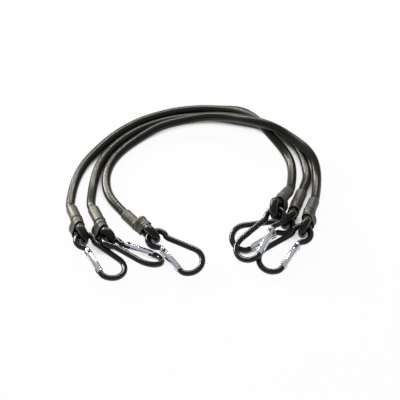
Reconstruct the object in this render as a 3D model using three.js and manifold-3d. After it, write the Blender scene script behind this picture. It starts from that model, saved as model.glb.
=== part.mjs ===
// A set of three elastic cords, each with a snap hook on both ends, lying together as one arch.
// Millimetres, +Z up. The cords lie on the plane z = 0 and cross over each other on the right.

import * as THREE from 'three';
import { mergeVertices } from 'three/addons/utils/BufferGeometryUtils.js';
import Module from 'manifold-3d';

const wasm = await Module();
wasm.setup();

// Cord: a braided sheath over a rubber core, folded back on itself at each end
const CORD_DIAMETER = 10;
const SHEATH_WALL = 1.1;
const CLAMPED_DIAMETER = 8;
const CORD_SIDES = 8;
const CORE_GAP = 0.6;
const CORE_SIDES = 5;
const RUN_STEP = 25;
const LEAD_LENGTH = 6;
const TAIL_LENGTH = 9.5;
const SWELL_LENGTH = 2.2;
const MOUTH_LEAD = 1.1;
const LOOP_DIAMETER = 8.6;
const LOOP_CLEARANCE = 1.1;
const LOOP_PULL = 0.6;
const LEG_STEPS = 2;
const BEND_STEPS = 5;

// Sleeve and clamp: a shrunk tube with a slim cuff and a wide part round the doubled cord
const CUFF_LENGTH = 20.5;
const WIDE_LENGTH = 12;
const SLEEVE_WALL = 0.8;
const SLEEVE_SIDES = 12;
const RIM_HEIGHT = 0.5;
const RIM_LENGTH = 1.4;
const GROOVE_DEPTH = 0.3;
const BUMP_LENGTH = 2.6;
const MOUTH_TAPER = 0.3;
const MOUTH_EASE = 0.6;
const MOUTH_SLANT = 0.1;
const CLAMP_WALL = 0.5;
const CLAMP_LENGTH = 4.5;
const CLAMP_SETBACK = 3;

// Hook frame: one bent wire with a captive eye, a neck, a straight spine, a bow and a nose
const WIRE_DIAMETER = 6;
const WIRE_SIDES = 8;
const EYE_CLEARANCE = 1.5;
const EYE_START = 44;
const EYE_STEPS = 9;
const NECK_ANGLE = 48;
const NECK_BLEND = 2.2;
const HOOK_REACH = 55.5;
const BOW_RADIUS = 14.5;
const BOW_STEPS = 6;
const NOSE_RADIUS = 8;
const NOSE_TURN = 62;
const NOSE_STEPS = 2;
const HINGE_STUB = 1.2;
const NOSE_STUB = 0.8;
const TONGUE_THICKNESS = 2.4;
const TONGUE_WIDTH = 4.4;
const NOSE_TONGUE = 4.6;

// Gate: a rod on a rivet, shut by a spring, with a pin that drops into the nose's notch
const GATE_DIAMETER = 7.5;
const GATE_SIDES = 12;
const GATE_SETBACK = 10.8;
const GATE_OFFSET = 6.3;
const PIVOT_MARGIN = 0.45;
const RIVET_DIAMETER = 2.4;
const RIVET_HEAD_DIAMETER = 3.4;
const RIVET_HEAD_HEIGHT = 0.5;
const PIN_DIAMETER = 1.8;
const PIN_RECESS = 0.35;
const PLUNGER_DIAMETER = 3.7;
const PLUNGER_LENGTH = 3;
const SPRING_LENGTH = 8;
const SMALL_SIDES = 8;

// Clearances
const FIT_GAP = 0.3;
const SLOT_GAP = 0.35;
const TURN_GAP = 0.6;
const REAR_GAP = 0.5;

// Where each end lies: the place its sleeve points from, the room between the sleeve's mouth and the wire
// of the eye, and the hook's eye, heading, dip and roll. The loop meets the eye at a turn from its far
// end, and its sleeve is twisted from it. A turned-over hook has its gate on the other side, and a cord
// that goes in from under has its tail on top.
const ENDS = {
  '1_left': {
    from: [-133, -21.6, 9.6], mouth: 8.8, eye: [-117, -69.2, 14.5],
    yaw: -49, pitch: 6.2, roll: -9.7, meet: -8, twist: -20, turned: true,
  },
  '1_right': {
    from: [92.2, -1.1, 14.7], mouth: 10.6, eye: [76.3, -48.1, 27.5],
    yaw: -132.3, pitch: 20.5, roll: 6.5, meet: 32, twist: 0, turned: false,
  },
  '2_left': {
    from: [-110.4, -25, 12.7], mouth: 9.3, eye: [-89.2, -69.6, 12.7],
    yaw: -27.2, pitch: 3, roll: -30.4, meet: -6, twist: 0, turned: false,
  },
  '2_right': {
    from: [106.2, 1.1, 9.7], mouth: 9.9, eye: [85.9, -45.4, 11.8],
    yaw: -162.2, pitch: 7.3, roll: -11.6, meet: 25, twist: 0, turned: false,
  },
  '3_left': {
    from: [-77.3, -26.4, 7.2], mouth: 9.6, eye: [-43.7, -64.9, 12.6],
    yaw: -39, pitch: 5, roll: 11, meet: -4, twist: -25, turned: true, under: true,
  },
  '3_right': {
    from: [118.4, -11.8, 10.7], mouth: 9.4, eye: [103.7, -59.9, 14.6],
    yaw: -137.3, pitch: 10, roll: -5.7, meet: 18, twist: 26, turned: false,
  },
};

// The way each cord takes between its cuffs: x, y and its lift off the table
const ROUTES = {
  1: [
    [-133, 16, 0], [-129, 33, 0], [-122, 50, 0], [-112, 65, 0], [-103, 77, 0], [-91, 91, 0],
    [-77, 103, 0], [-62, 113, 0], [-45, 120, 0], [-28, 126, 0], [-10, 129, 0], [8, 130, 0],
    [25, 128, 0], [42, 122, 7], [55, 109, 11.8], [67, 96, 10.5], [76, 84, 7.5], [87, 71, 3],
    [96, 56, 0], [98, 38, 1.3],
  ],
  2: [
    [-113, 12, 0.4], [-111, 30, 0], [-107, 48, 0], [-99, 64, 0], [-90, 76, 0], [-78, 89, 0],
    [-63, 100, 0], [-47, 108, 0], [-31, 114, 0], [-13, 117, 0], [5, 119, 0], [22, 118, 0],
    [39, 112, 0], [57, 109, 0], [74, 102, 0], [88, 92, 0], [99, 81, 0], [109, 66, 0],
    [112, 49, 0], [114, 31, 0],
  ],
  3: [
    [-96, 2, 0.7], [-100, 20, 0], [-99, 37, 0], [-93, 54, 0], [-85, 66, 0], [-73, 79, 0],
    [-59, 90, 1.4], [-45, 99, 4.6], [-28, 104, 6], [-11, 107, 8], [6, 110, 9], [24, 108, 11],
    [40, 101, 15.5], [54, 92, 21], [71, 87, 21], [88, 83, 14], [99, 75, 10.5], [112, 62, 11.5],
    [122, 48, 7], [124, 30, 1.5],
  ],
};

// Sizes that follow from those above
const CORD_RADIUS = CORD_DIAMETER / 2;
const CLAMPED_RADIUS = CLAMPED_DIAMETER / 2;
const WIRE_RADIUS = WIRE_DIAMETER / 2;
const GATE_RADIUS = GATE_DIAMETER / 2;
const SLEEVE_LENGTH = CUFF_LENGTH + WIDE_LENGTH;
const LEG_SPACING = CLAMPED_DIAMETER + FIT_GAP;
const LOOP_RADIUS = LOOP_DIAMETER / 2 + LOOP_CLEARANCE + WIRE_RADIUS;
const EYE_RADIUS = CORD_RADIUS + EYE_CLEARANCE + WIRE_RADIUS;
const LYING_HEIGHT = CORD_RADIUS * Math.cos(Math.PI / CORD_SIDES);
const PIVOT_SETBACK = GATE_RADIUS + PIVOT_MARGIN;
const SLOT_WIDTH = TONGUE_THICKNESS + 2 * SLOT_GAP;
const BORE_DIAMETER = PLUNGER_DIAMETER + 2 * SLOT_GAP;
const UP = new THREE.Vector3(0, 0, 1);

const radians = THREE.MathUtils.degToRad;
const point = (xyz) => new THREE.Vector3(...xyz);
const along = (start, direction, length) => start.clone().addScaledVector(direction, length);

// Joins rings of points into one closed surface with its faces pointing out.
function skin(rings, looped = false) {
  const sides = rings[0].length;
  const points = rings.flat();
  const index = [];
  const spans = looped ? rings.length : rings.length - 1;
  for (let r = 0; r < spans; r++) {
    const near = r * sides;
    const far = ((r + 1) % rings.length) * sides;
    for (let i = 0; i < sides; i++) {
      const j = (i + 1) % sides;
      index.push(near + i, near + j, far + j, near + i, far + j, far + i);
    }
  }
  if (!looped) {
    const last = (rings.length - 1) * sides;
    for (let i = 1; i < sides - 1; i++) {
      index.push(0, i + 1, i, last, last + i, last + i + 1);
    }
  }
  let volume = 0;
  for (let i = 0; i < index.length; i += 3) {
    const [a, b, c] = index.slice(i, i + 3).map((n) => points[n]);
    volume += a.dot(b.clone().cross(c));
  }
  const geometry = new THREE.BufferGeometry().setFromPoints(points);
  geometry.setIndex(volume > 0 ? index : index.reverse());
  return geometry;
}

// A regular ring of points about a centre, with a flat side towards -second.
function ringAbout(centre, first, second, radius, sides) {
  return Array.from({ length: sides }, (_, i) => {
    const turn = ((i + 0.5) * 2 * Math.PI) / sides;
    return along(along(centre, first, radius * Math.cos(turn)), second, radius * Math.sin(turn));
  });
}

// Solids for joins and cuts
function solid(geometry) {
  const bare = geometry.clone();
  bare.deleteAttribute('normal');
  bare.deleteAttribute('uv');
  const merged = mergeVertices(bare);
  const vertProperties = new Float32Array(merged.attributes.position.array);
  const triVerts = new Uint32Array(merged.index.array);
  return new wasm.Manifold(new wasm.Mesh({ numProp: 3, vertProperties, triVerts }));
}

function surfaceOf(body) {
  const { vertProperties, triVerts } = body.getMesh();
  const geometry = new THREE.BufferGeometry();
  geometry.setAttribute('position', new THREE.BufferAttribute(vertProperties, 3));
  geometry.setIndex(new THREE.BufferAttribute(triVerts, 1));
  return geometry;
}

// A round bar along X from one place to another, with flats towards +Z and -Z.
function barAlongX(diameter, from, to, sides) {
  const half = Math.PI / sides;
  const bar = new THREE.CylinderGeometry(diameter / 2, diameter / 2, to - from, sides, 1, false, half);
  return bar.rotateZ(-Math.PI / 2).translate((from + to) / 2, 0, 0);
}

// A round bar along Z at a place on X, as long on both sides of the middle plane.
function barAlongZ(diameter, x, length, sides) {
  const bar = new THREE.CylinderGeometry(diameter / 2, diameter / 2, length, sides);
  return bar.rotateX(Math.PI / 2).translate(x, 0, 0);
}

// A flat plate of the given outline, as thick on both sides of the middle plane.
function plate(shape, thickness) {
  const options = { depth: thickness, bevelEnabled: false, curveSegments: SMALL_SIDES };
  return new THREE.ExtrudeGeometry(shape, options).translate(0, 0, -thickness / 2);
}

function block(x0, x1, y0, y1, thickness) {
  const box = new THREE.BoxGeometry(x1 - x0, y1 - y0, thickness);
  return box.translate((x0 + x1) / 2, (y0 + y1) / 2, 0);
}

// Hook outline in its own plane: the eye's centre is the origin, the bow lies along +X and the gate
// is on the +Y side.
const bowCentre = new THREE.Vector2(HOOK_REACH - BOW_RADIUS, 0);
const gateStart = new THREE.Vector2(GATE_SETBACK, GATE_OFFSET);
const onCircle = (centre, radius, turn) =>
  new THREE.Vector2(Math.cos(turn), Math.sin(turn)).multiplyScalar(radius).add(centre);

// The straight line from a place to where it touches a circle, on one side of it or the other.
function tangentTo(centre, radius, start, side) {
  const way = centre.clone().sub(start);
  const reach = way.length();
  const angle = Math.atan2(way.y, way.x) + side * Math.asin(radius / reach);
  return { angle, length: Math.sqrt(reach ** 2 - radius ** 2) };
}

const neck = onCircle(new THREE.Vector2(), EYE_RADIUS, -radians(NECK_ANGLE));
const noseCentre = onCircle(bowCentre, BOW_RADIUS - NOSE_RADIUS, radians(NOSE_TURN));
const spine = tangentTo(bowCentre, BOW_RADIUS, neck, -1);
const gateLine = tangentTo(noseCentre, NOSE_RADIUS, gateStart, 1);
const gateWay = new THREE.Vector2(Math.cos(gateLine.angle), Math.sin(gateLine.angle));
const pivot = gateStart.clone().addScaledVector(gateWay, PIVOT_SETBACK);

// Places along the gate, measured from its pivot
const rearFace = -PIVOT_SETBACK - REAR_GAP;
const noseFace = gateLine.length - PIVOT_SETBACK - NOSE_STUB;
const gateTip = noseFace - TURN_GAP;
const noseTongueTip = noseFace - NOSE_TONGUE;
const pinPlace = noseFace - NOSE_TONGUE / 2;
const hingeSlotEnd = TONGUE_WIDTH / 2 + TURN_GAP;
const plungerStart = TONGUE_WIDTH / 2 + FIT_GAP;
const springStart = plungerStart + PLUNGER_LENGTH + FIT_GAP;
const boreEnd = springStart + SPRING_LENGTH + FIT_GAP;

// Moves a piece made along the gate into the hook's plane.
const ontoGateLine = (geometry) => geometry.rotateZ(gateLine.angle).translate(pivot.x, pivot.y, 0);

function wirePath() {
  const onGateLine = (x) => pivot.clone().addScaledVector(gateWay, x);
  const path = [onGateLine(rearFace), onGateLine(rearFace - HINGE_STUB)];
  const blendTurn = NECK_BLEND / EYE_RADIUS;
  const eyeFrom = radians(EYE_START);
  const eyeTo = 2 * Math.PI - radians(NECK_ANGLE) - blendTurn;
  for (let i = 0; i <= EYE_STEPS; i++) {
    path.push(onCircle(new THREE.Vector2(), EYE_RADIUS, THREE.MathUtils.lerp(eyeFrom, eyeTo, i / EYE_STEPS)));
  }
  const spineWay = new THREE.Vector2(Math.cos(spine.angle), Math.sin(spine.angle));
  const spineStart = neck.clone().addScaledVector(spineWay, NECK_BLEND);
  const bend = path.at(-1).clone().add(spineStart).multiplyScalar(0.5).add(neck).multiplyScalar(0.5);
  path.push(bend, spineStart);
  const bowFrom = spine.angle - Math.PI / 2;
  const bowTo = radians(NOSE_TURN);
  for (let i = 0; i < BOW_STEPS; i++) {
    path.push(onCircle(bowCentre, BOW_RADIUS, THREE.MathUtils.lerp(bowFrom, bowTo, i / BOW_STEPS)));
  }
  const noseTo = gateLine.angle + Math.PI / 2;
  for (let i = 0; i <= NOSE_STEPS; i++) {
    path.push(onCircle(noseCentre, NOSE_RADIUS, THREE.MathUtils.lerp(bowTo, noseTo, i / NOSE_STEPS)));
  }
  path.push(onGateLine(noseFace));
  return path;
}

// A round wire bent along a flat path, mitred where it bends.
function bentWire(path) {
  const rings = path.map((place, i) => {
    const before = place.clone().sub(path[i - 1] ?? place).normalize();
    const after = (path[i + 1] ?? place).clone().sub(place).normalize();
    const way = before.clone().add(after).normalize();
    const straight = i === 0 || i === path.length - 1;
    const mitre = straight ? 1 : way.dot(before);
    const side = new THREE.Vector3(-way.y, way.x, 0).divideScalar(mitre);
    return ringAbout(new THREE.Vector3(place.x, place.y, 0), side, UP, WIRE_RADIUS, WIRE_SIDES);
  });
  return skin(rings);
}

// The hinge tongue ends round about the rivet, and the nose tongue has a notch open to the inside.
function makeFrame() {
  const hinge = new THREE.Shape();
  const half = TONGUE_WIDTH / 2;
  hinge.moveTo(rearFace - HINGE_STUB, -half);
  hinge.lineTo(0, -half);
  hinge.absarc(0, 0, half, -Math.PI / 2, Math.PI / 2, false);
  hinge.lineTo(rearFace - HINGE_STUB, half);
  const nose = block(noseTongueTip, noseFace + NOSE_STUB, -half, half, TONGUE_THICKNESS);
  const reach = PIN_DIAMETER / 2 + FIT_GAP;
  const notch = block(pinPlace - reach, pinPlace + reach, -TONGUE_WIDTH, reach, WIRE_DIAMETER);
  const hole = barAlongZ(RIVET_DIAMETER + 2 * FIT_GAP, 0, WIRE_DIAMETER, SMALL_SIDES);
  const body = solid(bentWire(wirePath()))
    .add(solid(ontoGateLine(plate(hinge, TONGUE_THICKNESS))))
    .add(solid(ontoGateLine(nose)))
    .subtract(solid(ontoGateLine(hole)))
    .subtract(solid(ontoGateLine(notch)));
  return surfaceOf(body);
}

// The gate's rear is rounded about the rivet so that it turns past the wire's end.
function makeGate() {
  const plan = new THREE.Shape();
  plan.moveTo(gateTip, GATE_DIAMETER);
  plan.lineTo(0, PIVOT_SETBACK);
  plan.absarc(0, 0, PIVOT_SETBACK, Math.PI / 2, (3 * Math.PI) / 2, false);
  plan.lineTo(gateTip, -GATE_DIAMETER);
  const rod = barAlongX(GATE_DIAMETER, -GATE_DIAMETER, gateTip, GATE_SIDES);
  const width = GATE_DIAMETER;
  const hingeSlot = block(-2 * GATE_DIAMETER, hingeSlotEnd, -width, width, SLOT_WIDTH);
  const noseSlot = block(noseTongueTip - TURN_GAP, gateTip + TURN_GAP, -width, width, SLOT_WIDTH);
  const body = solid(rod)
    .intersect(solid(plate(plan, GATE_DIAMETER + SLOT_WIDTH)))
    .subtract(solid(hingeSlot))
    .subtract(solid(noseSlot))
    .subtract(solid(barAlongX(BORE_DIAMETER, 0, boreEnd, SMALL_SIDES)))
    .subtract(solid(barAlongZ(RIVET_DIAMETER + 2 * FIT_GAP, 0, 2 * GATE_DIAMETER, SMALL_SIDES)))
    .subtract(solid(barAlongZ(PIN_DIAMETER + 2 * FIT_GAP, pinPlace, 2 * GATE_DIAMETER, SMALL_SIDES)));
  return surfaceOf(body);
}

// A pin with a flat head on both cheeks of the gate.
function makeRivet() {
  const seat = GATE_RADIUS + FIT_GAP;
  const top = seat + RIVET_HEAD_HEIGHT;
  const stem = RIVET_DIAMETER / 2;
  const head = RIVET_HEAD_DIAMETER / 2;
  const profile = [
    [0, -top], [stem, -top], [head, -seat], [stem, -seat], [stem, seat], [head, seat], [stem, top], [0, top],
  ];
  const turned = new THREE.LatheGeometry(profile.map((p) => new THREE.Vector2(...p)), SMALL_SIDES);
  return surfaceOf(solid(turned.rotateX(Math.PI / 2)));
}

const HOOK_PIECES = {
  frame: makeFrame(),
  rivet: ontoGateLine(makeRivet()),
};
const GATE_PIECES = {
  gate: makeGate(),
  latch_pin: barAlongZ(PIN_DIAMETER, pinPlace, GATE_DIAMETER - 2 * PIN_RECESS, SMALL_SIDES),
  spring: barAlongX(PLUNGER_DIAMETER, springStart, springStart + SPRING_LENGTH, SMALL_SIDES),
  plunger: barAlongX(PLUNGER_DIAMETER, plungerStart, plungerStart + PLUNGER_LENGTH, SMALL_SIDES),
};

// Directions and places at one end of a cord. The sleeve points so that the wire of the eye lies midway
// between the cord and its tail, which pass over and under it.
function layOut(end) {
  const from = point(end.from);
  const hook = new THREE.Group();
  hook.position.set(...end.eye);
  hook.rotation.set(radians(end.roll), radians(end.pitch), radians(end.yaw), 'ZYX');
  hook.updateMatrix();
  const [forward, side, over] = [0, 1, 2].map((n) => new THREE.Vector3().setFromMatrixColumn(hook.matrix, n));
  const meet = radians(end.meet);
  const inward = forward.multiplyScalar(Math.cos(meet)).addScaledVector(side, Math.sin(meet));
  if (end.under) over.negate();
  const wire = along(hook.position, inward, -EYE_RADIUS);
  const line = wire.clone().sub(from);
  const lift = line.clone().cross(over.clone().cross(inward));
  const tilt = Math.asin(LEG_SPACING / 2 / line.length());
  const reach = line.length() * Math.cos(tilt);
  const across = line.clone().cross(lift).normalize();
  across.applyAxisAngle(line.normalize(), radians(end.twist));
  const axis = line.applyAxisAngle(across, tilt);
  const toTail = axis.clone().cross(across);
  const cuff = along(from, axis, reach - end.mouth - SLEEVE_LENGTH);
  if (end.turned) hook.rotateX(Math.PI);
  return { cuff, axis, toTail, hook, inward, over, wire };
}

// Stations of a cord from its cuff out through the sleeve, round the hook's wire and back as the tail
function endStations(lay) {
  const { cuff, axis, toTail, inward, over, wire } = lay;
  const inSleeve = (q) => along(cuff, axis, q);
  const mouth = inSleeve(SLEEVE_LENGTH + MOUTH_LEAD);
  const tailMouth = along(mouth, toTail, LEG_SPACING);
  const tailEnd = along(inSleeve(SLEEVE_LENGTH - TAIL_LENGTH), toTail, LEG_SPACING);
  const top = along(wire, over, LOOP_RADIUS);
  const bottom = along(wire, over, -LOOP_RADIUS);
  const leg = (from, fromWay, to, toWay) => {
    const pull = LOOP_PULL * from.distanceTo(to);
    return new THREE.CubicBezierCurve3(from, along(from, fromWay, pull), along(to, toWay, -pull), to);
  };
  const back = axis.clone().negate();
  const out = leg(mouth, axis, top, inward).getPoints(LEG_STEPS);
  const home = leg(bottom, inward.clone().negate(), tailMouth, back).getPoints(LEG_STEPS);
  const bend = [];
  for (let i = 1; i < BEND_STEPS; i++) {
    const turn = (Math.PI * i) / BEND_STEPS;
    bend.push(along(along(wire, over, LOOP_RADIUS * Math.cos(turn)), inward, LOOP_RADIUS * Math.sin(turn)));
  }
  const full = (place) => ({ place, radius: CORD_RADIUS });
  const squeezed = (place) => ({ place, radius: CLAMPED_RADIUS });
  const looped = (place) => ({ place, radius: LOOP_DIAMETER / 2 });
  return [
    full(inSleeve(CUFF_LENGTH - SWELL_LENGTH / 2)),
    squeezed(inSleeve(CUFF_LENGTH + SWELL_LENGTH / 2)),
    squeezed(mouth),
    ...[...out.slice(1), ...bend, ...home.slice(0, -1)].map(looped),
    squeezed(tailMouth),
    squeezed(tailEnd),
  ];
}

function runStations(route, left, right) {
  const lying = route.map(([x, y, lift]) => new THREE.Vector3(x, y, LYING_HEIGHT + lift));
  const leadOf = (lay) => along(lay.cuff, lay.axis, -LEAD_LENGTH);
  const curve = new THREE.CatmullRomCurve3([leadOf(left), ...lying, leadOf(right)], false, 'centripetal');
  const steps = Math.round(curve.getLength() / RUN_STEP);
  return curve.getSpacedPoints(steps).map((place) => ({ place, radius: CORD_RADIUS }));
}

// Rings of a cord from tail to tail, thinner by the given depth. The flats face down along the run, and
// the frame is carried on round both loops.
function cordRings(stations, runFrom, runTo, depth, sides) {
  const ways = stations.map(({ place }, i) => {
    const before = stations[Math.max(i - 1, 0)].place;
    const after = stations[Math.min(i + 1, stations.length - 1)].place;
    const inward = place.clone().sub(before).normalize();
    return inward.add(after.clone().sub(place).normalize()).normalize();
  });
  const upright = (up, way) => along(up, way, -up.dot(way)).normalize();
  const ups = ways.map((way) => upright(UP, way));
  for (let i = runTo; i < ups.length; i++) {
    ups[i] = upright(ups[i - 1], ways[i]);
  }
  for (let i = runFrom; i >= 0; i--) {
    ups[i] = upright(ups[i + 1], ways[i]);
  }
  return stations.map(({ place, radius }, i) => {
    const side = ways[i].clone().cross(ups[i]);
    return ringAbout(place, side, ups[i], radius - depth, sides);
  });
}

// A ring round one cord or, where it is stretched, round a cord and its tail. A slant tips it.
function ovalRing(lay, q, inner, stretch, slant = 0) {
  const corner = Math.cos(Math.PI / SLEEVE_SIDES);
  const second = lay.axis.clone().cross(lay.toTail);
  const centre = along(lay.cuff, lay.axis, q);
  return ringAbout(centre, lay.toTail, second, inner / corner, SLEEVE_SIDES).map((corner3) => {
    const offset = corner3.clone().sub(centre).dot(lay.toTail);
    const shifted = along(corner3, lay.toTail, offset > 0 ? stretch : 0);
    const acrossMouth = offset + (offset > 0 ? stretch : 0) - LEG_SPACING / 2;
    return along(shifted, lay.axis, slant * acrossMouth);
  });
}

const cuffBore = CORD_RADIUS + FIT_GAP;
const legBore = CLAMPED_RADIUS + FIT_GAP;
const clampOuter = legBore + CLAMP_WALL;
const clampTo = SLEEVE_LENGTH - CLAMP_SETBACK;
const clampFrom = clampTo - CLAMP_LENGTH;

function makeSleeve(lay) {
  const cuffOuter = cuffBore + SLEEVE_WALL;
  const cavity = clampOuter + FIT_GAP;
  const wideOuter = cavity + SLEEVE_WALL;
  const tailStop = SLEEVE_LENGTH - TAIL_LENGTH - FIT_GAP;
  const bumpFrom = tailStop - BUMP_LENGTH;
  const rim = cuffOuter + RIM_HEIGHT;
  const groove = cuffOuter - GROOVE_DEPTH;
  const ring = (q, inner, stretch = 0, slant = 0) => ovalRing(lay, q, inner, stretch, slant);
  const outside = [
    ring(0, cuffOuter),
    ring(bumpFrom - 1.5 * RIM_LENGTH, cuffOuter),
    ring(bumpFrom - RIM_LENGTH, rim),
    ring(bumpFrom, groove),
    ring(bumpFrom + BUMP_LENGTH * 0.3, wideOuter - GROOVE_DEPTH, LEG_SPACING * 0.7),
    ring(tailStop, wideOuter, LEG_SPACING),
    ring(clampTo, wideOuter, LEG_SPACING),
    ring(SLEEVE_LENGTH, wideOuter - MOUTH_TAPER, LEG_SPACING, MOUTH_SLANT),
  ];
  const inside = [
    ring(SLEEVE_LENGTH, legBore + MOUTH_EASE, LEG_SPACING, MOUTH_SLANT),
    ring(clampTo + FIT_GAP, legBore, LEG_SPACING),
    ring(clampTo + FIT_GAP, cavity, LEG_SPACING),
    ring(clampFrom - FIT_GAP, cavity, LEG_SPACING),
    ring(tailStop, legBore, LEG_SPACING),
    ring(tailStop, legBore),
    ring(CUFF_LENGTH - SWELL_LENGTH / 2, cuffBore),
    ring(0, cuffBore),
  ];
  return skin([...outside, ...inside], true);
}

function makeClamp(lay) {
  return skin([
    ovalRing(lay, clampFrom, clampOuter, LEG_SPACING),
    ovalRing(lay, clampTo, clampOuter, LEG_SPACING),
    ovalRing(lay, clampTo, legBore, LEG_SPACING),
    ovalRing(lay, clampFrom, legBore, LEG_SPACING),
  ], true);
}

// Finishes
const finish = (color, roughness, metalness) => new THREE.MeshStandardMaterial({ color, roughness, metalness });
const FINISHES = {
  sheath: finish('#2b2920', 0.85, 0),
  core: finish('#b59a6a', 0.9, 0),
  sleeve: finish('#4c4b3d', 0.55, 0),
  clamp: finish('#9a9c9e', 0.4, 1),
  frame: finish('#111214', 0.25, 0.3),
  rivet: finish('#3a3b3d', 0.4, 1),
  gate: finish('#c9ccd1', 0.18, 1),
  latch_pin: finish('#a8abb0', 0.3, 1),
  spring: finish('#8d9094', 0.35, 1),
  plunger: finish('#c2b280', 0.5, 0.6),
};

function named(piece, label, geometry) {
  const mesh = new THREE.Mesh(geometry, FINISHES[piece]);
  mesh.name = `${piece}_${label}`;
  return mesh;
}

function addHook(parent, label, lay) {
  for (const [piece, geometry] of Object.entries(HOOK_PIECES)) {
    lay.hook.add(named(piece, label, geometry));
  }
  const gate = new THREE.Group();
  gate.position.set(pivot.x, pivot.y, 0);
  gate.rotation.z = gateLine.angle;
  for (const [piece, geometry] of Object.entries(GATE_PIECES)) {
    gate.add(named(piece, label, geometry));
  }
  lay.hook.add(gate);
  parent.add(lay.hook);
}

const part = new THREE.Group();
const ends = new THREE.Group();
part.add(ends);

for (const [cord, route] of Object.entries(ROUTES)) {
  const labels = [`${cord}_left`, `${cord}_right`];
  const [left, right] = labels.map((label) => layOut(ENDS[label]));
  const leftStations = endStations(left).reverse();
  const run = runStations(route, left, right);
  const stations = [...leftStations, ...run, ...endStations(right)];
  const sleeveStations = 3;
  const runFrom = leftStations.length - sleeveStations - 1;
  const runTo = leftStations.length + run.length + sleeveStations;
  const rings = (depth, sides) => cordRings(stations, runFrom, runTo, depth, sides);
  const sheath = skin([...rings(0, CORD_SIDES), ...rings(SHEATH_WALL, CORD_SIDES).reverse()], true);
  part.add(named('sheath', cord, sheath));
  part.add(named('core', cord, skin(rings(SHEATH_WALL + CORE_GAP, CORE_SIDES))));
  labels.forEach((label, n) => {
    const lay = [left, right][n];
    ends.add(named('sleeve', label, makeSleeve(lay)));
    ends.add(named('clamp', label, makeClamp(lay)));
    addHook(ends, label, lay);
  });
}

// The origin is under the middle of the hooks and sleeves, on the plane that the cords lie on.
const box = new THREE.Box3().setFromObject(ends, true);
const floor = new THREE.Box3().setFromObject(part, true).min.z;
part.position.set(-(box.min.x + box.max.x) / 2, -(box.min.y + box.max.y) / 2, -floor);

export default part;
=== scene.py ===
# %% [markdown]
# # Three elastic cords with snap hooks
# Three braided elastic cords lie side by side as one arch. At each end the cord is folded back through a
# plastic sleeve to make a loop, and a snap hook hangs in that loop. The solids come from a CAD model, which
# we load as a fixed frame. Every piece below is laid over that frame and rides on one of its bodies, so a
# hook that turns or a gate that opens takes its looks along.

# %% Load the frame
import math

import bmesh
import bpy
import numpy as np
from mathutils import Matrix, Vector, noise


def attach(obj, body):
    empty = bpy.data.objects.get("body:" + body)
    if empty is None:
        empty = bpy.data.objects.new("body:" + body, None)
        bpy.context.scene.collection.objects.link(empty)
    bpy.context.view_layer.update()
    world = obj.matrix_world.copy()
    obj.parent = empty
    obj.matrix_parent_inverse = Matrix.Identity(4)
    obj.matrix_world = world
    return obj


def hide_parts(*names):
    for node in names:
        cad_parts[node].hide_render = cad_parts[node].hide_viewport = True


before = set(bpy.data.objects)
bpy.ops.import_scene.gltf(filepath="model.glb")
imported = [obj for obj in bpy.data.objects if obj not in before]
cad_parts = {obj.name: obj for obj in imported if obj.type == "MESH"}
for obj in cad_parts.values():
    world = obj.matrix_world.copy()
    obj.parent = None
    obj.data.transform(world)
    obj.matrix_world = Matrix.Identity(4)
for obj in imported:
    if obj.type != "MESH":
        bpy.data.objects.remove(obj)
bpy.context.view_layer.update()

# %% [markdown]
# ## The camera
# The photograph looks down on the table from in front, at 48 degrees. It could be framed by eye, but a
# distance and a lens that were worked out once are easier to trust: from 1.8 m a long lens keeps the two
# sides of the arch nearly parallel, as they are in the picture. The layout below is written in millimetres
# about the middle of the picture, so one shift takes it to the frame's own origin.

# %% Camera at the photograph's angle
MM = 0.001
ROW_SHIFT = np.array([7.171, 56.940, 0.063])
VIEW_DISTANCE = 1800
VIEW_ELEVATION = math.radians(48)
VIEW_LENS = 154.2

camera_data = bpy.data.cameras.new("camera")
camera_data.lens = VIEW_LENS
camera = bpy.data.objects.new("camera", camera_data)
camera_back = np.array([0, -math.cos(VIEW_ELEVATION), math.sin(VIEW_ELEVATION)])
camera.location = (ROW_SHIFT + VIEW_DISTANCE * camera_back) * MM
camera.rotation_euler = (math.pi / 2 - VIEW_ELEVATION, 0, 0)
bpy.context.scene.collection.objects.link(camera)
bpy.context.scene.camera = camera
print("camera at", [round(x, 3) for x in camera.location])

# %% [markdown]
# ## Where each cord and hook lies
# A sleeve is placed by a point that it points from and by the room left between its mouth and the hook's
# eye. A hook is placed by the centre of its eye and three turns. The cords take a list of points on the
# table. These are the same values as in the CAD model, in millimetres, so the pieces fall on its solids
# without any fitting.

# %% Ends and routes
ENDS = {
    "1_left": dict(start=(-133, -21.6, 9.6), mouth=8.8, eye=(-117, -69.2, 14.5),
                   yaw=-49, pitch=6.2, roll=-9.7, meet=-8, twist=-20, turned=True, under=False),
    "1_right": dict(start=(92.2, -1.1, 14.7), mouth=10.6, eye=(76.3, -48.1, 27.5),
                    yaw=-132.3, pitch=20.5, roll=6.5, meet=32, twist=0, turned=False, under=False),
    "2_left": dict(start=(-110.4, -25, 12.7), mouth=9.3, eye=(-89.2, -69.6, 12.7),
                   yaw=-27.2, pitch=3, roll=-30.4, meet=-6, twist=0, turned=False, under=False),
    "2_right": dict(start=(106.2, 1.1, 9.7), mouth=9.9, eye=(85.9, -45.4, 11.8),
                    yaw=-162.2, pitch=7.3, roll=-11.6, meet=25, twist=0, turned=False, under=False),
    "3_left": dict(start=(-77.3, -26.4, 7.2), mouth=9.6, eye=(-43.7, -64.9, 12.6),
                   yaw=-39, pitch=5, roll=11, meet=-4, twist=-25, turned=True, under=True),
    "3_right": dict(start=(118.4, -11.8, 10.7), mouth=9.4, eye=(103.7, -59.9, 14.6),
                    yaw=-137.3, pitch=10, roll=-5.7, meet=18, twist=26, turned=False, under=False),
}
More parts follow.
